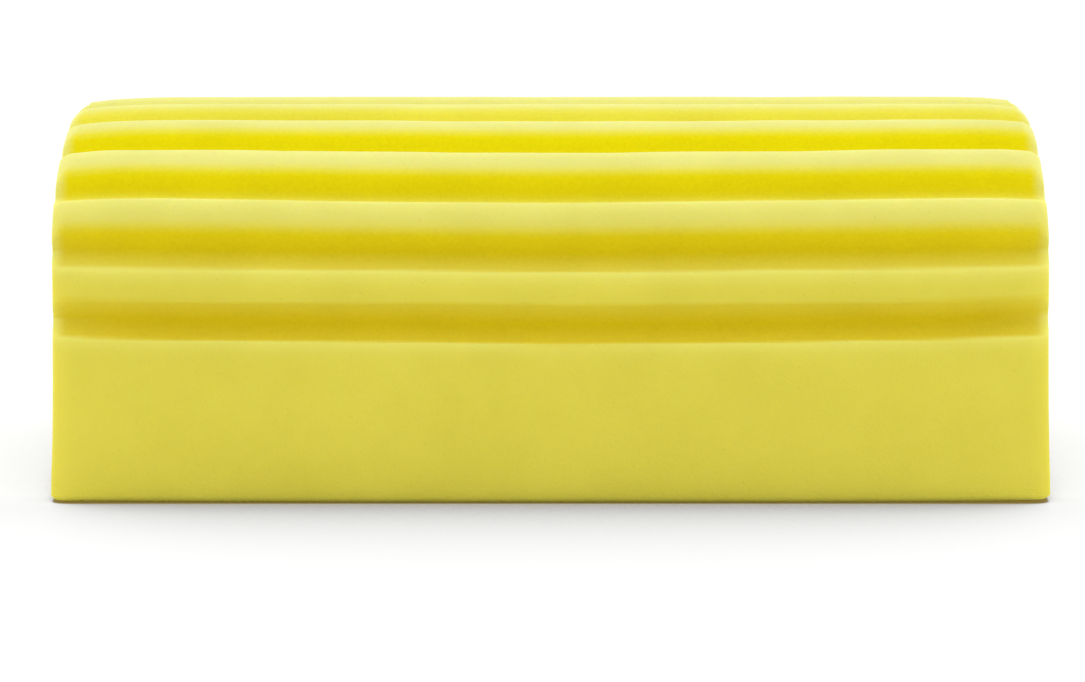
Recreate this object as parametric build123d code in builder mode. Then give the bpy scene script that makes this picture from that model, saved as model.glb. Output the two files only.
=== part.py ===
from build123d import *

import os

# Ribbed foam cleaning sponge: one moulded block with a flat base and flat lower walls.
#
# The crown is a half ellipse, and scalloped grooves run along the whole length of it and of the
# upper walls. The block lies along X, its two long walls face -Y and +Y, and it stands on Z = 0.
# Dimensions are in millimetres.

# Driving dimensions
LENGTH = 165.0            # along X, at the base
DEPTH = 76.0              # along Y, wall to wall
HEIGHT = 62.2             # base to the top of the crown
CROWN_RISE = 20.9         # height of the half-elliptical crown
PLAIN_WALL_HEIGHT = 26.7  # smooth part of each long wall, below its first groove
GROOVE_COUNT = 11         # an odd count puts one groove on the crest of the crown
RIB_WIDTH = 5.3           # land between two grooves, along the outline
GROOVE_DEPTH = 2.7        # at the middle of a groove, square to the outline
END_DRAFT = 1.0           # degrees that each end leans inwards towards the top
END_EDGE_RADIUS = 1.8     # rounding where the ends meet the walls and the crown
BASE_EDGE_RADIUS = 1.0    # rounding round the foot of the block

# Derived dimensions
wall_height = HEIGHT - CROWN_RISE
half_depth = DEPTH / 2

# The outline over the block, from the foot of the -Y wall to the foot of the +Y wall
with BuildLine() as outline:
    front_wall = Line((-half_depth, 0), (-half_depth, wall_height))
    crown = EllipticalCenterArc((0, wall_height), half_depth, CROWN_RISE, arc_size=180)
    back_wall = Line((half_depth, wall_height), (half_depth, 0))

# Grooves share what the ribs and the two plain walls leave of the outline
outline_length = front_wall.length + crown.length + back_wall.length
ribbed_length = outline_length - 2 * PLAIN_WALL_HEIGHT
groove_width = (ribbed_length - (GROOVE_COUNT - 1) * RIB_WIDTH) / GROOVE_COUNT
rib_pitch = groove_width + RIB_WIDTH
groove_radius = ((groove_width / 2) ** 2 + GROOVE_DEPTH ** 2) / (2 * GROOVE_DEPTH)


def outline_point(distance):
    """Point and outward direction at a distance along the outline from the foot of the -Y wall."""
    path = outline.wire()
    point = path.position_at(distance, position_mode=PositionMode.LENGTH)
    along = path.tangent_at(distance, position_mode=PositionMode.LENGTH)
    outward = Vector(0, 0, 1).cross(along)
    return point, outward


# A groove is a circular scallop, so its cutter's centre stands off the outline
groove_centres = []
for index in range(GROOVE_COUNT):
    middle_of_groove = PLAIN_WALL_HEIGHT + groove_width / 2 + index * rib_pitch
    point, outward = outline_point(middle_of_groove)
    groove_centres.append(point + outward * (groove_radius - GROOVE_DEPTH))

# The foam block
with BuildPart() as foam_body:
    with BuildSketch(Plane.YZ) as cross_section:
        with BuildLine():
            add(outline.line)
            Line((half_depth, 0), (-half_depth, 0))
        make_face()
    extrude(amount=LENGTH / 2, both=True)

    with BuildSketch(Plane.XZ) as side_outline:
        Trapezoid(LENGTH, HEIGHT, 90 - END_DRAFT, align=(Align.CENTER, Align.MIN))
    extrude(amount=half_depth, both=True, mode=Mode.INTERSECT)

    end_faces = foam_body.faces().sort_by(Axis.X)
    end_edges = end_faces[0].edges() + end_faces[-1].edges()
    fillet(end_edges.filter_by(lambda edge: edge.center().Z > BASE_EDGE_RADIUS), END_EDGE_RADIUS)
    fillet(foam_body.faces().sort_by(Axis.Z)[0].edges(), BASE_EDGE_RADIUS)

    with BuildSketch(Plane.YZ) as groove_section:
        with Locations(*groove_centres):
            Circle(groove_radius)
    extrude(amount=LENGTH / 2, both=True, mode=Mode.SUBTRACT)

foam_body.part.label = "foam_body"

os.makedirs("parts", exist_ok=True)
export_step(foam_body.part, "parts/foam_body.step")
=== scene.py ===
import math

import bpy
import numpy as np
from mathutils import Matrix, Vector, noise


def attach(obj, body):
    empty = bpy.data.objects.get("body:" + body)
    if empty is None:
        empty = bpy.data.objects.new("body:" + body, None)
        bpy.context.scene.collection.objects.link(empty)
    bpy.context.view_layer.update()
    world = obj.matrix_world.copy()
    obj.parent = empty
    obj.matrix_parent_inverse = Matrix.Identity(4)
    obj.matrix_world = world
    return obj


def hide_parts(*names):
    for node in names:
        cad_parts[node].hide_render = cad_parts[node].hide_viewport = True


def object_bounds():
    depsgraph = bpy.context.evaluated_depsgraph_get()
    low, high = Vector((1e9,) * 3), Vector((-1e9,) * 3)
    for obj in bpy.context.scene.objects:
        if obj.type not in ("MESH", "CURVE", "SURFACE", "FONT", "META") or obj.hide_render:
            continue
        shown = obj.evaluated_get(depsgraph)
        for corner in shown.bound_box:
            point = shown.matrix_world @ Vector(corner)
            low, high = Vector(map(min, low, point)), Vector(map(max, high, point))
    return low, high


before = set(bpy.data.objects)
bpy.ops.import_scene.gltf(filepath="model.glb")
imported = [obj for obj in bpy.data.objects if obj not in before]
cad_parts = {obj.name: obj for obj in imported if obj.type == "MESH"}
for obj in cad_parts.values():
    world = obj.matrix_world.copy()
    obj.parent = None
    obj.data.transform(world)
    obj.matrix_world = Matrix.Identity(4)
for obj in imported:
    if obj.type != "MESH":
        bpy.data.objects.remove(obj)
cad_low, cad_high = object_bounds()

# One moulded foam sponge: it lies along X, its long walls face -Y and +Y, and it stands on z = 0.
MM = 0.001

# The block, from the frame. Its end faces lean inwards, so it is longest at its foot.
HALF_LENGTH = (cad_high.x - cad_low.x) / 2
HALF_DEPTH = (cad_high.y - cad_low.y) / 2
HEIGHT = cad_high.z

# The outline of the block's section
CROWN_RISE = 20.9 * MM
PLAIN_WALL = 26.7 * MM           # outline length below the first groove
FOOT_RADIUS = 1.2 * MM
OUTLINE_STEPS = 6000             # samples of the outline that lengths are measured on
CROWN_HEIGHTS = (34 * MM, 50 * MM)   # at the ends, the walls' ways turn into the crown's between these

# The grooves and the ribs between them. A place across a groove is -1 at its lip on the foot side
# and 1 at its lip on the crown side.
GROOVE_COUNT = 11
CREST_GROOVE = GROOVE_COUNT // 2
RIB_WIDTH = 5.3 * MM
GROOVE_DEPTH = 2.7 * MM
GROOVE_SKEW = 0.14               # the deepest line is this far from the middle, towards the foot
LIP_SOFTNESS = 0.28 * MM         # how much each lip is rounded over
SOFT_LIP_END = 1.25              # where the soft wall of a groove ends, past its crown-side lip
WALL_GROOVE = 4                  # a groove this many from the crest, or more, is on a wall
CROWN_FOOT_LIP = -0.88           # the foot-side lip of the other grooves, which are narrower
RIB_CROWN = 0.30 * MM            # each rib stands proud by this along its middle
TOP_RIB_CROWN = 0.55 * MM        # and the four ribs on top of the crown by this
TOP_RIBS = (1.5, 2.5)            # the last of the four and the next rib, in rib pitches from the crest
EDGE_DROP = 0.22 * MM            # the two lowest faces fall away by this towards the groove above each
EDGE_REACH = 1.3 * MM

# The painted groove shade, by place across the groove
SHARP_FADE = 0.05                # half width of a sharp change of colour
SOFT_FADE = (0.82, 1.72)         # a soft change of colour, on the crown side
LIP_COLOUR_SHIFT = 0.08          # it starts this much inside a foot-side lip, if not the lowest groove's
CROWN_LIP = 1.08                 # where it ends in the lowest groove
CROWN_LIP_SHADE = 0.5             # and how strong it is there

# The painted groove shade, by groove: grooves counted from the one on the crest, against a value for each
TOP_SHADES = ((0, 1, 2), (0.1, 0.72, 1))          # how strong it is at its strongest
LIP_SHADES = ((3, 4, 5), (0.5, 0.62, 0.85))       # the share of that just inside a foot-side lip
DEEPEST_SHADE_PLACES = ((3, 4), (0.4, 0.0))             # the place across the groove where it is strongest

# The painted highlight on the edge of each face, at the groove above it
EDGE_HIGHLIGHT_AMOUNT = 0.45
EDGE_HIGHLIGHT_REACH = 1.0 * MM

# The ends
END_DRAFT = math.radians(1.0)
END_RADIUS = 1.7 * MM            # how far the long faces drop at the ends
WALL_END_REACH = 4.0 * MM        # and the length over which they do, on the walls
CROWN_END_REACH = 2.3 * MM       # and on the crown
FOOT_END_RADIUS = 1.0 * MM       # how far the foot draws in
FOOT_HEIGHTS = (2 * MM, 9 * MM)  # the foot's drop turns into that of the faces between these
END_SOFTNESS = 0.5 * MM          # how softly the rounding takes over from the grooves
END_SOFTNESS_ONSET = 0.25        # the share of the rounding over which that softness grows
END_MARGIN = 1.5 * MM            # between the last straight section and the rounding
END_MIDDLE = 29 * MM             # height of the middle of each end face
END_FADE = 2.4 * MM              # the painted groove shade fades out over this length
WALL_FADE = 0.25                 # and on the walls by this share more
WALL_FADE_REACH = 6.0 * MM       # which dies out over this length

# How the ribs stray from straight lines. The first row counts foot-side lips from the lowest, and
# the second has the millimetres that each climbs at the ends.
LIP_CREEP = ((-1, 0, 1, 2, 3, 4, 5.2), (0, 0.85, 0.55, 1.0, 1.6, 1.6, 0))
CREEP_POWER = 1.2
WANDER = 0.07 * MM
WANDER_LENGTH = 17 * MM
WANDER_HEIGHT = 9 * MM

# How far the soft block is out of true
ROCKER = 0.5 * MM                # the +X end lifts off the table by this
ROCKER_POWER = 6
ROCKER_LEFT = 0.3 * MM           # and the -X end by this
ROCKER_POWER_LEFT = 4
WAIST = 0.3 * MM                 # each end is hollow by this at half height
WAIST_POWER = 4
LEAN = 0.12 * MM                 # the crown leans towards -X by this
LEAN_HEIGHTS = (30 * MM, 58 * MM)
DROOP = 1.35 * MM                # its +X end sags by this
DROOP_REACH = 5.5 * MM
DROOP_LEFT = 1.6 * MM            # and its -X end by this
DROOP_REACH_LEFT = 7.5 * MM
DROOP_HEIGHTS = (36 * MM, 58 * MM)
UNEVENNESS = 0.10 * MM
UNEVEN_SEED = 1                  # without one, each run would have its own unevenness
UNEVEN_SIZE = 14 * MM
UNEVEN_HEIGHTS = (0.5 * MM, 6 * MM)

# Mesh density
GROOVE_STEPS = 14
RIB_STEPS = 8
WALL_STEPS = 18
FOOT_STEPS = 4
BASE_STEPS = 36
LENGTH_STEPS = 176
END_STEPS = 8
END_RINGS = 14


def soft_max(a, b, softness):
    """The larger of two values, rounded over where they meet."""
    return (a + b + np.sqrt((a - b) ** 2 + softness ** 2)) / 2


def smooth_step(value, low, high):
    """A smooth rise from 0 at the low value to 1 at the high one."""
    t = np.clip((value - low) / (high - low), 0, 1)
    return t * t * (3 - 2 * t)


# ---------------------------------------------------------------------------------------------
# The section outline: front wall, half-elliptical crown, back wall
# ---------------------------------------------------------------------------------------------

def sample_outline():
    """Lengths, points and outward normals along the outline, from the front foot to the back."""
    wall_top = HEIGHT - CROWN_RISE
    wall_steps = OUTLINE_STEPS // 3
    wall = np.linspace(0, wall_top, wall_steps, endpoint=False)
    wall_y = np.full(wall_steps, HALF_DEPTH)
    outward = np.ones(wall_steps)
    level = np.zeros(wall_steps)
    turn = np.linspace(math.pi, 0, OUTLINE_STEPS)
    y = np.concatenate([-wall_y, HALF_DEPTH * np.cos(turn), wall_y])
    z = np.concatenate([wall, wall_top + CROWN_RISE * np.sin(turn), wall[::-1]])
    normal_y = np.concatenate([-outward, CROWN_RISE * np.cos(turn), outward])
    normal_z = np.concatenate([level, HALF_DEPTH * np.sin(turn), level])
    size = np.hypot(normal_y, normal_z)
    length = np.concatenate([[0], np.cumsum(np.hypot(np.diff(y), np.diff(z)))])
    return length, y, z, normal_y / size, normal_z / size


outline_length, *outline_columns = sample_outline()
TOTAL_LENGTH = outline_length[-1]
GROOVE_WIDTH = (TOTAL_LENGTH - 2 * PLAIN_WALL - (GROOVE_COUNT - 1) * RIB_WIDTH) / GROOVE_COUNT
RIB_PITCH = GROOVE_WIDTH + RIB_WIDTH


def on_outline(distance):
    """Points and normals at those distances along the outline, as y, z, normal y and normal z."""
    return [np.interp(distance, outline_length, column) for column in outline_columns]


def crowded_steps(count):
    """Places from 0 up to 1, without 1 itself, that crowd together at both."""
    return (1 - np.cos(np.linspace(0, math.pi, count, endpoint=False))) / 2


def section_distances():
    """Where the section's vertices lie along the outline, crowded together at the groove lips."""
    parts = [np.linspace(FOOT_RADIUS, PLAIN_WALL, WALL_STEPS, endpoint=False)]
    for index in range(GROOVE_COUNT):
        start = PLAIN_WALL + index * RIB_PITCH
        parts.append(start + GROOVE_WIDTH * crowded_steps(GROOVE_STEPS))
        if index < GROOVE_COUNT - 1:
            parts.append(start + GROOVE_WIDTH + RIB_WIDTH * crowded_steps(RIB_STEPS))
    parts.append(np.linspace(TOTAL_LENGTH - PLAIN_WALL, TOTAL_LENGTH - FOOT_RADIUS, WALL_STEPS + 1))
    return np.concatenate(parts)


def across_groove(distance):
    """Which groove is nearest, on which side of the crest it is, and the place across it."""
    from_first = distance - PLAIN_WALL - GROOVE_WIDTH / 2
    nearest = np.clip(np.round(from_first / RIB_PITCH), 0, GROOVE_COUNT - 1)
    side = np.sign(CREST_GROOVE - nearest)
    off_centre = (from_first - nearest * RIB_PITCH) / (GROOVE_WIDTH / 2)
    return nearest, side, np.where(side == 0, np.abs(off_centre), off_centre * side)


def grooves_from_crest(groove):
    return np.abs(groove - CREST_GROOVE)


def is_outermost(groove):
    """The lowest groove on each wall is sharp at both lips."""
    return grooves_from_crest(groove) == CREST_GROOVE


def is_on_wall(groove):
    return grooves_from_crest(groove) >= WALL_GROOVE


def foot_lip(groove):
    """The place of a groove's foot-side lip: on the crown, the grooves are narrower on that side."""
    return np.where(is_on_wall(groove), -1, CROWN_FOOT_LIP)


def below_foot_lip(across, lip):
    """How far along the outline a point is below that place of a foot-side lip."""
    return np.clip(lip - across, 0, None) * GROOVE_WIDTH / 2


def groove_share(distance):
    """Depth in the nearest groove as a share of the full depth, at those distances along the outline.

    The deepest line is nearer to the foot side, except in the groove on the crest of the crown.
    """
    nearest, side, across = across_groove(distance)
    deepest = -GROOVE_SKEW * np.abs(side)
    foot_wall = 1 - ((deepest - across) / (deepest - foot_lip(nearest))) ** 2
    sharp_wall = 1 - ((across - deepest) / (1 - deepest)) ** 2
    turn = np.clip((across - deepest) / (SOFT_LIP_END - deepest), 0, 1) * math.pi
    soft_wall = (1 + np.cos(turn)) / 2
    crown_wall = np.where(is_outermost(nearest), sharp_wall, soft_wall)
    return np.where(across < deepest, foot_wall, crown_wall)


def pattern_inset(distance):
    """How deep the grooves and how proud the ribs are at those distances along the outline."""
    nearest, side, across = across_groove(distance)
    edge = EDGE_DROP * np.exp(-below_foot_lip(across, -1) / EDGE_REACH) * (across < 0) * is_on_wall(nearest)
    inset = soft_max(GROOVE_DEPTH * groove_share(distance), edge, LIP_SOFTNESS)
    from_first = distance - PLAIN_WALL - GROOVE_WIDTH
    on_rib = np.clip((from_first % RIB_PITCH) / RIB_WIDTH, 0, 1)
    between = (from_first > 0) & (from_first < (GROOVE_COUNT - 1) * RIB_PITCH)
    ribs_from_crest = np.abs(distance - TOTAL_LENGTH / 2) / RIB_PITCH
    proud = np.interp(ribs_from_crest, TOP_RIBS, (TOP_RIB_CROWN, RIB_CROWN))
    return inset - proud * np.sin(on_rib * math.pi) * between


def rib_drift(distance, x):
    """How far the rib pattern has crept up the walls, which is most near the ends."""
    from_foot = np.minimum(distance, TOTAL_LENGTH - distance)
    side = np.where(distance < TOTAL_LENGTH / 2, 1, -1)
    creep = np.interp((from_foot - PLAIN_WALL) / RIB_PITCH, *LIP_CREEP) * MM
    along = np.abs(x / HALF_LENGTH) ** CREEP_POWER
    return side * creep * along + np.sin(x / WANDER_LENGTH + distance / WANDER_HEIGHT) * WANDER


def groove_painted_shade(distance):
    """How far the colour turns from that of the open faces to the painted shade inside a groove, from 0 to
    1.

    It turns at once at a sharp lip and gradually round a soft one, and it is weaker in the three
    grooves on top of the crown.
    """
    nearest, side, across = across_groove(distance)
    outermost = is_outermost(nearest)
    sharp = 1 - smooth_step(across, CROWN_LIP - SHARP_FADE, CROWN_LIP + SHARP_FADE)
    sharp = sharp * (1 - (1 - CROWN_LIP_SHADE) * np.clip(across, 0, 1))
    soft = 1 - smooth_step(across, *SOFT_FADE)
    foot_end = foot_lip(nearest) + np.where(outermost, 0, LIP_COLOUR_SHIFT)
    foot_side = smooth_step(across, foot_end - SHARP_FADE, foot_end + SHARP_FADE)
    from_crest = grooves_from_crest(nearest)
    lip_shade = np.interp(from_crest, *LIP_SHADES)
    deepest = np.interp(from_crest, *DEEPEST_SHADE_PLACES)
    deeper = lip_shade + (1 - lip_shade) * smooth_step((across + 1) / (deepest + 1), 0, 1)
    strength = np.interp(from_crest, *TOP_SHADES)
    return strength * np.where(outermost, sharp, soft) * np.where(side == 0, 1, foot_side * deeper)


def edge_highlight(distance):
    """How strong the painted highlight on each face is towards the lip of the groove above it."""
    nearest, side, across = across_groove(distance)
    below_lip = below_foot_lip(across, foot_lip(nearest))
    return EDGE_HIGHLIGHT_AMOUNT * np.exp(-below_lip / EDGE_HIGHLIGHT_REACH) * (across < 0) * np.abs(side)


# ---------------------------------------------------------------------------------------------
# The foam mesh
# ---------------------------------------------------------------------------------------------

def end_face(z):
    """How far the leaning end faces are from the middle of the block at those heights."""
    return HALF_LENGTH - math.tan(END_DRAFT) * z


def end_radius(z):
    """How far the outline is drawn in where it meets the end faces, at those heights."""
    return FOOT_END_RADIUS + (END_RADIUS - FOOT_END_RADIUS) * smooth_step(z, *FOOT_HEIGHTS)


def end_reach(z, radius):
    """The length over which a drop of that radius comes in, at those heights."""
    on_crown = smooth_step(z, *CROWN_HEIGHTS)
    full_reach = WALL_END_REACH + (CROWN_END_REACH - WALL_END_REACH) * on_crown
    return radius * full_reach / END_RADIUS


def fade_at_ends(groove_shade, x, z):
    """The painted groove shade as it fades out at the ends, where light comes in from the sides; on the
    walls the fade starts further in.
    """
    from_end = end_face(z) - np.abs(x)
    on_wall = 1 - smooth_step(z, *CROWN_HEIGHTS)
    wall_fade = WALL_FADE * on_wall * np.exp(-from_end / WALL_FADE_REACH)
    return groove_shade * smooth_step(from_end, 0, END_FADE) * (1 - wall_fade)


def front_foot(drawn_in):
    """Points round the front foot, from the base to the wall, drawn in by so much."""
    turn = np.linspace(0, math.pi / 2, FOOT_STEPS, endpoint=False)
    y = -HALF_DEPTH + FOOT_RADIUS + (drawn_in - FOOT_RADIUS) * np.sin(turn)
    z = FOOT_RADIUS + (drawn_in - FOOT_RADIUS) * np.cos(turn)
    return y, z


def whole_loop(side, front, back):
    """A value for the whole loop: the outline's, between one for the front foot and one for the rest."""
    rest = FOOT_STEPS + BASE_STEPS - 1
    return np.concatenate([np.full(FOOT_STEPS, front), side, np.full(rest, back)])


def closed_section(x, end_angle, end_sign):
    """The closed loop of points round the block at one station, foot to foot and back under it.

    end_angle is 0 along the block and turns to a right angle over the rounding of each end. The
    last two columns are the painted groove shade and the painted edge highlight.
    """
    distance = section_distances()
    y, z, normal_y, normal_z = on_outline(distance)
    pattern_distance = distance - rib_drift(distance, x)
    inset = pattern_inset(pattern_distance)
    end_inset = 1 - math.cos(end_angle)
    radius = end_radius(z)
    if end_inset > 0:
        softness = END_SOFTNESS * min(1, end_inset / END_SOFTNESS_ONSET)
        inset = soft_max(inset, radius * end_inset, softness)
    y = y - normal_y * inset
    z = z - normal_z * inset

    foot_y, foot_z = front_foot(FOOT_END_RADIUS * end_inset)
    base_y = np.linspace(-foot_y[0], foot_y[0], BASE_STEPS + 1)[1:-1]
    base_z = np.full(BASE_STEPS - 1, foot_z[0])
    loop_y = np.concatenate([foot_y, y, -foot_y[::-1], base_y])
    loop_z = np.concatenate([foot_z, z, foot_z[::-1], base_z])

    reach = end_reach(z, radius)
    loop_reach = whole_loop(reach, reach[0], reach[-1])
    rounded_x = end_face(loop_z) - loop_reach * (1 - math.sin(end_angle))
    loop_x = np.full(len(loop_y), x) if end_sign == 0 else end_sign * rounded_x
    groove_shade = fade_at_ends(whole_loop(groove_painted_shade(pattern_distance), 0.0, 0.0), loop_x, loop_z)
    highlight = whole_loop(edge_highlight(pattern_distance), 0.0, 0.0)
    return np.column_stack([loop_x, loop_y, loop_z, groove_shade, highlight])


def stations():
    """Every station along the block as (x, end angle, end sign), from the -X end to the +X end."""
    start = end_face(HEIGHT) - WALL_END_REACH - END_MARGIN
    middle = [(x, 0.0, 0) for x in np.linspace(-start, start, LENGTH_STEPS + 1)]
    angles = np.linspace(0, math.pi / 2, END_STEPS + 1)
    low_end = [(-HALF_LENGTH, angle, -1) for angle in angles[::-1]]
    high_end = [(HALF_LENGTH, angle, 1) for angle in angles]
    return low_end + middle + high_end


def out_of_true(points):
    """Those points with the lift, sag, hollow ends, lean and gentle unevenness of soft foam."""
    x, y, z = points.T
    left = x < 0
    along = np.abs(x / HALF_LENGTH)
    lift = np.where(left, ROCKER_LEFT * along ** ROCKER_POWER_LEFT, ROCKER * along ** ROCKER_POWER)
    from_end = end_face(z) - np.abs(x)
    droop = np.where(left, DROOP_LEFT, DROOP)
    reach = np.where(left, DROOP_REACH_LEFT, DROOP_REACH)
    sag = droop * np.exp(-from_end / reach) * smooth_step(z, *DROOP_HEIGHTS)
    hollow = np.sign(x) * along ** WAIST_POWER * WAIST * np.sin(np.clip(z / HEIGHT, 0, 1) * math.pi)
    noise.seed_set(UNEVEN_SEED)
    uneven = np.array([noise.noise_vector(Vector(point) / UNEVEN_SIZE) for point in points])
    moved = points + UNEVENNESS * uneven * smooth_step(z, *UNEVEN_HEIGHTS)[:, None]
    moved[:, 0] -= LEAN * smooth_step(z, *LEAN_HEIGHTS)
    moved[:, 0] -= hollow
    moved[:, 2] += lift - sag
    return moved


def end_cap(vertices, first, loop_count):
    """Faces over one end: rings that shrink from the last section to the middle of the end face.

    The rings' points are added to vertices, without any painted groove shade or painted edge highlight.
    """
    faces = []
    loop = vertices[first:first + loop_count]
    side = loop[0][0]
    middle = np.array([math.copysign(end_face(END_MIDDLE), side), 0, END_MIDDLE, 0, 0])
    previous = list(range(first, first + loop_count))
    for share in np.linspace(1, 0, END_RINGS, endpoint=False)[1:]:
        current = list(range(len(vertices), len(vertices) + loop_count))
        for point in loop:
            inner = middle + (point - middle) * share
            inner[0] = math.copysign(end_face(inner[2]), side)
            inner[3:] = 0
            vertices.append(inner)
        for step in range(loop_count):
            following = (step + 1) % loop_count
            faces.append((previous[step], previous[following], current[following], current[step]))
        previous = current
    vertices.append(middle)
    for step in range(loop_count):
        faces.append((previous[step], previous[(step + 1) % loop_count], len(vertices) - 1))
    return faces


def foam_mesh():
    """The whole block as one closed mesh."""
    rows = [closed_section(*station) for station in stations()]
    loop_count = len(rows[0])
    vertices = [point for row in rows for point in row]
    faces = []
    for row in range(len(rows) - 1):
        for column in range(loop_count):
            following = (column + 1) % loop_count
            a = row * loop_count + column
            b = row * loop_count + following
            faces.append((a, b, b + loop_count, a + loop_count))
    for row in (0, len(rows) - 1):
        faces += end_cap(vertices, row * loop_count, loop_count)

    table = np.array(vertices)
    mesh = bpy.data.meshes.new("foam_sponge")
    mesh.from_pydata(out_of_true(table[:, :3]).tolist(), [], faces)
    for name, values in zip(("groove_painted_shade", "painted_edge_highlight"), table.T[3:]):
        mesh.attributes.new(name, "FLOAT", "POINT").data.foreach_set("value", values)
    mesh.validate()
    mesh.update()
    return mesh


def make_outward(piece):
    """Turn every face of a closed piece outwards."""
    bpy.context.view_layer.objects.active = piece
    piece.select_set(True)
    bpy.ops.object.mode_set(mode="EDIT")
    bpy.ops.mesh.select_all(action="SELECT")
    bpy.ops.mesh.normals_make_consistent(inside=False)
    bpy.ops.object.mode_set(mode="OBJECT")
    piece.select_set(False)


def add_sponge():
    piece = bpy.data.objects.new("foam_sponge", foam_mesh())
    bpy.context.collection.objects.link(piece)
    make_outward(piece)
    piece.data.shade_smooth()
    piece.data.materials.append(foam_material())
    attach(piece, "root")
    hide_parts("foam_body")


# ---------------------------------------------------------------------------------------------
# Shader nodes
# ---------------------------------------------------------------------------------------------

WHITE = (1, 1, 1, 1)

# Sockets of a colour mix, which share their names with its sockets for numbers and vectors
FIRST_COLOUR = 6
SECOND_COLOUR = 7
MIXED_COLOUR = 2


def new_material(name):
    material = bpy.data.materials.new(name)
    material.use_nodes = True
    return material, material.node_tree, material.node_tree.nodes["Principled BSDF"]


def node(tree, kind, label, inputs, **settings):
    """A new node. Each of its inputs is a fixed value or the output that feeds it."""
    made = tree.nodes.new(kind)
    made.label = label
    for name, value in settings.items():
        setattr(made, name, value)
    for name, value in inputs.items():
        if isinstance(value, bpy.types.NodeSocket):
            tree.links.new(value, made.inputs[name])
        else:
            made.inputs[name].default_value = value
    return made


def place_on_object(tree):
    return node(tree, "ShaderNodeTexCoord", "place on the object", {}).outputs["Object"]


def along_axis(tree, place, axis):
    return node(tree, "ShaderNodeSeparateXYZ", "place along an axis", {"Vector": place}).outputs[axis]


def attribute(tree, name):
    return node(tree, "ShaderNodeAttribute", name, {}, attribute_name=name).outputs["Fac"]


def rise(tree, label, value, ends, top=1.0, kind="LINEAR"):
    """A value that rises from 0 to the top one as the other goes from one end to the other."""
    inputs = {"Value": value, "From Min": ends[0], "From Max": ends[1], "To Max": top}
    return node(tree, "ShaderNodeMapRange", label, inputs, interpolation_type=kind).outputs["Result"]


def mix(tree, label, amount, first, second, blend="MIX"):
    inputs = {"Factor": amount, FIRST_COLOUR: first, SECOND_COLOUR: second}
    made = node(tree, "ShaderNodeMix", label, inputs, data_type="RGBA", blend_type=blend)
    return made.outputs[MIXED_COLOUR]


def ramp(tree, label, value, stops):
    """A colour ramp through those stops, each a position and a grey value or a colour."""
    made = node(tree, "ShaderNodeValToRGB", label, {"Fac": value})
    elements = made.color_ramp.elements
    while len(elements) < len(stops):
        elements.new(0.5)
    for element, (position, shade) in zip(elements, stops):
        element.position = position
        element.color = shade if isinstance(shade, tuple) else (shade, shade, shade, 1)
    return made.outputs["Color"]


# ---------------------------------------------------------------------------------------------
# The foam
# ---------------------------------------------------------------------------------------------

# the foam's own yellow, made a little pale by painted sheen
FACE_COLOUR = (0.81, 0.725, 0.089, 1)
# painted sheen on the crown, where light grazes the faces
CROWN_PAINTED_SHEEN = (0.82, 0.80, 0.245, 1)
# painted shade in the grooves, lighter higher up where more light falls
LOW_GROOVE_PAINTED_SHADE = (0.765, 0.595, 0.005, 1)
HIGH_GROOVE_PAINTED_SHADE = (0.88, 0.78, 0.0005, 1)
# painted highlight along the top edge of each face
EDGE_HIGHLIGHT_COLOUR = (0.95, 0.95, 0.28, 1)
PAINTED_TOP_LIGHT_HEIGHTS = (34 * MM, 61 * MM)         # between these, the low colours turn into the high ones with more painted light from above

# The textures. Each scale is in cells per metre, and a shade fades out over its range of values.
MOTTLE_SCALE = 90
MOTTLE_DETAIL = 5
MOTTLE_SHADE = (0.955, 0.95, 0.90, 1)
MOTTLE_RANGE = (0.3, 0.7)
CELL_SCALE = 2600
GRAIN_SCALE = 1500
GRAIN_DETAIL = 3
SPECKLE_RANGE = (0.35, 0.60)
SPECKLE_SHADE = (0.97, 0.963, 0.955, 1)
PORE_SCALE = 620
PORE_RANGE = (0.02, 0.08)
# painted shade inside the open pores
PORE_PAINTED_SHADE = (0.87, 0.80, 0.66, 1)

# The strength of each relief, and how high it is
CELL_RELIEF = (0.25, 0.15 * MM)
GRAIN_RELIEF = (0.25, 0.2 * MM)
PORE_RELIEF = (0.3, 0.2 * MM)

FOAM_SURFACE = {
    "Roughness": 0.75,
    "Specular IOR Level": 0.05,
    "Sheen Weight": 0.05,
    "Sheen Roughness": 0.4,
    "Subsurface Weight": 0.35,
    "Subsurface Radius": (1.0, 0.7, 0.1),
    "Subsurface Scale": 2.0 * MM,
}


def noise_texture(tree, label, place, scale, detail):
    inputs = {"Vector": place, "Scale": scale, "Detail": detail}
    return node(tree, "ShaderNodeTexNoise", label, inputs).outputs["Fac"]


def cell_texture(tree, label, place, scale):
    """How far each point is from the middle of its cell."""
    inputs = {"Vector": place, "Scale": scale}
    return node(tree, "ShaderNodeTexVoronoi", label, inputs).outputs["Distance"]


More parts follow.
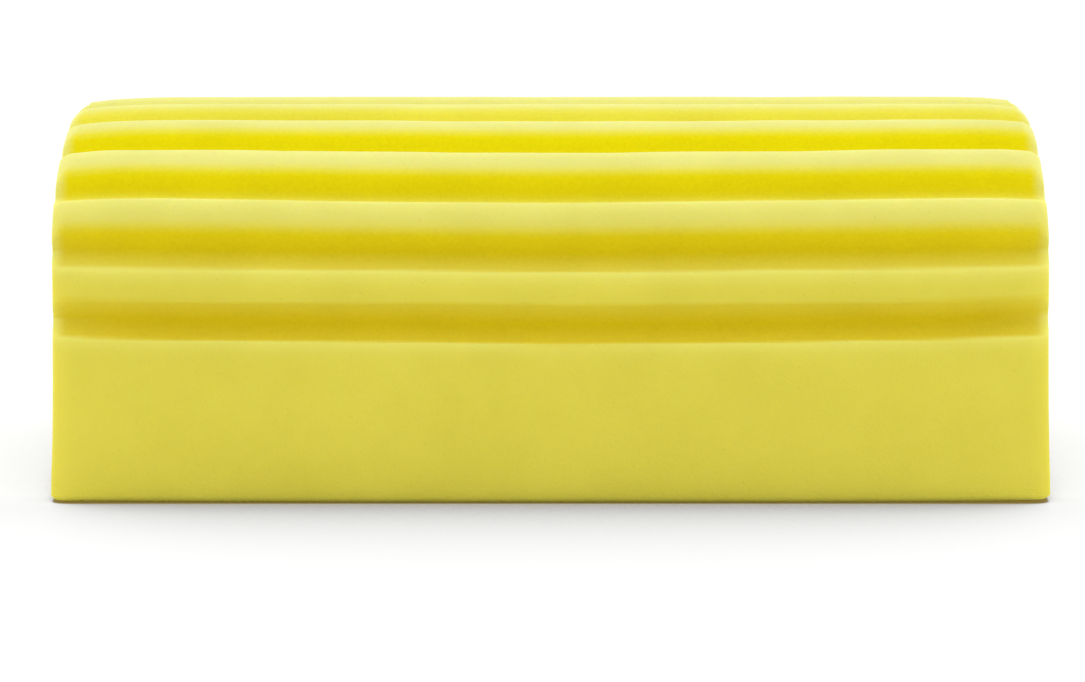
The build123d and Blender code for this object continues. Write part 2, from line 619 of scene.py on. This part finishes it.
def dye_and_painted_light(tree, place, groove_shade):
    """Painted sheen on the crown, painted highlights at face edges, painted shade in the grooves, a little
    mottled.
    """
    high = rise(tree, "towards the crown", along_axis(tree, place, "Z"), PAINTED_TOP_LIGHT_HEIGHTS, kind="SMOOTHSTEP")
    # painted sheen on the crown's faces
    face = mix(tree, "open faces", high, FACE_COLOUR, CROWN_PAINTED_SHEEN)
    # painted shade in the grooves, lighter higher up
    inside = mix(tree, "groove colour", high, LOW_GROOVE_PAINTED_SHADE, HIGH_GROOVE_PAINTED_SHADE)
    # painted highlight along the top edges of the faces
    highlighted = mix(tree, "pale edges", attribute(tree, "painted_edge_highlight"), face, EDGE_HIGHLIGHT_COLOUR)
    # painted groove shade laid over the faces and their painted sheen and highlights
    dye = mix(tree, "dye", groove_shade, highlighted, inside)
    mottle = noise_texture(tree, "dye mottling", place, MOTTLE_SCALE, MOTTLE_DETAIL)
    low, full = MOTTLE_RANGE
    uneven = ramp(tree, "uneven dye", mottle, ((low, MOTTLE_SHADE), (full, WHITE)))
    return mix(tree, "mottled dye", 1, dye, uneven, "MULTIPLY")


def relief(tree, label, height, amount, below=None):
    """A bump of that strength and height, over the one below it if there is one."""
    strength, distance = amount
    inputs = {"Strength": strength, "Distance": distance, "Height": height}
    if below is not None:
        inputs["Normal"] = below
    return node(tree, "ShaderNodeBump", label, inputs).outputs["Normal"]


def foam_material():
    """Matte open-cell foam with fine cells, speckle in the grooves and odd open pores with painted shade.
    """
    material, tree, shader = new_material("yellow_foam")
    place = place_on_object(tree)
    groove_shade = attribute(tree, "groove_painted_shade")
    cells = cell_texture(tree, "foam cells", place, CELL_SCALE)
    grain = noise_texture(tree, "cell grain", place, GRAIN_SCALE, GRAIN_DETAIL)
    pores = rise(tree, "pore edges", cell_texture(tree, "odd open pores", place, PORE_SCALE), PORE_RANGE)

    # painted shade in the open pores
    in_pores = mix(tree, "darker in a pore", pores, PORE_PAINTED_SHADE, WHITE)
    speckle = mix(tree, "darker speckle", rise(tree, "speckle", grain, SPECKLE_RANGE), SPECKLE_SHADE, WHITE)
    in_grooves = mix(tree, "speckle in the grooves", groove_shade, WHITE, speckle)
    porous = mix(tree, "pores and dye", 1, dye_and_painted_light(tree, place, groove_shade), in_pores, "MULTIPLY")
    foam_colour = mix(tree, "foam colour", 1, porous, in_grooves, "MULTIPLY")
    tree.links.new(foam_colour, shader.inputs["Base Color"])

    cell_bump = relief(tree, "cell relief", cells, CELL_RELIEF)
    grain_bump = relief(tree, "grain relief", grain, GRAIN_RELIEF, cell_bump)
    pore_bump = relief(tree, "pore relief", pores, PORE_RELIEF, grain_bump)
    tree.links.new(pore_bump, shader.inputs["Normal"])
    for name, value in FOAM_SURFACE.items():
        shader.inputs[name].default_value = value
    return material


# ---------------------------------------------------------------------------------------------
# The table
# ---------------------------------------------------------------------------------------------

TABLE_SIZE = 12.0
BOUNCE_DROP = 0.3 * MM                   # the grey sheet lies this far under the white one
SKY_REACH = 200 * MM                     # the block shades the table out to about this distance
SKY_SAMPLES = 24
UNDER_FOOT_PAINTED_SHADOW = (0.22, 0.15, 0.02, 1)     # painted shadow, warmed by painted yellow bounce light, on the table right under the foam's edge

# How much of the sky a point sees, against the colour or grey of the painted shadow on the table there
SEEN_SHADES = (
    (0.30, UNDER_FOOT_PAINTED_SHADOW), (0.47, UNDER_FOOT_PAINTED_SHADOW), (0.51, 0.33),
    (0.56, 0.54), (0.64, 0.72), (0.80, 0.90), (0.95, 1.0),
)
BOUNCE_SHADES = ((0.50, 0.10), (0.55, 0.65), (0.62, 0.88))

# The painted shadow is weaker from the front wall backwards, as if lit from behind, but not under the foot
# of the block
BEHIND_RANGE = (-HALF_DEPTH - 5 * MM, -HALF_DEPTH + 8 * MM)
BEHIND_AMOUNT = 0.72
OUTSIDE_RANGE = (0.47, 0.53)             # how much of the sky is seen under the foot and outside it

SEEN_GREY = (0.10, 0.10, 0.10, 1)        # the white sheet glows by itself, so it takes little light
SEEN_GLOW = 0.95


def matt_material(name):
    material, tree, shader = new_material(name)
    shader.inputs["Roughness"].default_value = 1.0
    shader.inputs["Specular IOR Level"].default_value = 0.0
    return material, tree, shader


def sky_past_block(tree):
    """How much of the sky a point on the table sees past the block."""
    inputs = {"Distance": SKY_REACH}
    near = node(tree, "ShaderNodeAmbientOcclusion", "sky past the block", inputs, samples=SKY_SAMPLES)
    return near.outputs["AO"]


def table_material():
    """White sheet that stays neutral, with a painted soft grey shadow round the block, deepest in front."""
    material, tree, shader = matt_material("white_sheet")
    sky = sky_past_block(tree)
    shade = ramp(tree, "soft shadow", sky, SEEN_SHADES)
    depth = along_axis(tree, place_on_object(tree), "Y")
    # painted shadow made weaker behind the block, as though lit from behind
    behind = rise(tree, "lit from behind", depth, BEHIND_RANGE, BEHIND_AMOUNT, "SMOOTHSTEP")
    outside = rise(tree, "only outside the foot of the block", sky, OUTSIDE_RANGE, behind)
    lifted = mix(tree, "weaker shadow behind", outside, shade, WHITE)
    tree.links.new(lifted, shader.inputs["Emission Color"])
    shader.inputs["Emission Strength"].default_value = SEEN_GLOW
    shader.inputs["Base Color"].default_value = SEEN_GREY
    return material


def bounce_material():
    """Pale sheet that is darker close to the block, where the real one lies in its shadow."""
    material, tree, shader = matt_material("grey_bounce")
    shade = ramp(tree, "darker near the block", sky_past_block(tree), BOUNCE_SHADES)
    tree.links.new(shade, shader.inputs["Base Color"])
    return material


def add_sheet(name, height, material):
    half = TABLE_SIZE / 2
    corners = [(-half, -half, height), (half, -half, height), (half, half, height), (-half, half, height)]
    mesh = bpy.data.meshes.new(name)
    mesh.from_pydata(corners, [], [(0, 1, 2, 3)])
    mesh.materials.append(material)
    sheet = bpy.data.objects.new(name, mesh)
    bpy.context.collection.objects.link(sheet)
    return sheet


def add_table():
    """A white sheet that is seen, over a grey one that is not seen but lights the block from below."""
    seen = add_sheet("table", 0, table_material())
    seen.visible_diffuse = False
    seen.visible_shadow = False
    bounce = add_sheet("table_bounce", -BOUNCE_DROP, bounce_material())
    bounce.visible_camera = False


# ---------------------------------------------------------------------------------------------
# Light and camera
# ---------------------------------------------------------------------------------------------

SKY_STRENGTH = 0.64

# Each lamp's name, place, target, width and height in metres, and power in watts
LAMPS = (
    ("top_softbox", (0, 0.1, 1.0), (0, 0, 0), (2.0, 2.0), 8.5),
    ("back_softbox", (0, 1.5, 0.45), (0, 0, 0.03), (2.8, 0.9), 4.5),
    ("side_softbox", (-1.0, -0.15, 0.3), (0, 0, 0.03), (0.8, 0.6), 2.5),
    ("side_softbox", (1.0, -0.15, 0.3), (0, 0, 0.03), (0.8, 0.6), 2.5),
)

CAMERA_DISTANCE = 650 * MM               # from the front wall
CAMERA_HEIGHT = 144 * MM
CAMERA_OFFSET = -1.35 * MM
CAMERA_PITCH = math.radians(10.18)
CAMERA_LENS = 133.9                      # millimetres, on the default 36 mm sensor
CAMERA_FAR = 20.0


def add_lamp(name, place, target, size, power):
    lamp = bpy.data.lights.new(name, "AREA")
    lamp.shape = "RECTANGLE"
    lamp.size, lamp.size_y = size
    lamp.energy = power
    holder = bpy.data.objects.new(name, lamp)
    holder.location = place
    holder.rotation_mode = "QUATERNION"
    holder.rotation_quaternion = (Vector(target) - Vector(place)).to_track_quat("-Z", "Y")
    bpy.context.collection.objects.link(holder)


def add_light():
    """A plain white sky and soft lamps above, behind and at both sides."""
    world = bpy.data.worlds.new("studio")
    bpy.context.scene.world = world
    world.use_nodes = True
    sky = world.node_tree.nodes["Background"]
    sky.inputs["Strength"].default_value = SKY_STRENGTH
    sky.inputs["Color"].default_value = WHITE
    for lamp in LAMPS:
        add_lamp(*lamp)


def add_camera():
    lens = bpy.data.cameras.new("camera")
    lens.lens = CAMERA_LENS
    lens.clip_end = CAMERA_FAR
    camera = bpy.data.objects.new("camera", lens)
    camera.location = (CAMERA_OFFSET, cad_low.y - CAMERA_DISTANCE, CAMERA_HEIGHT)
    camera.rotation_euler = (math.pi / 2 - CAMERA_PITCH, 0, 0)
    bpy.context.collection.objects.link(camera)
    bpy.context.scene.camera = camera


bpy.context.scene.view_settings.view_transform = "Standard"
add_camera()
add_sponge()
add_table()
add_light()
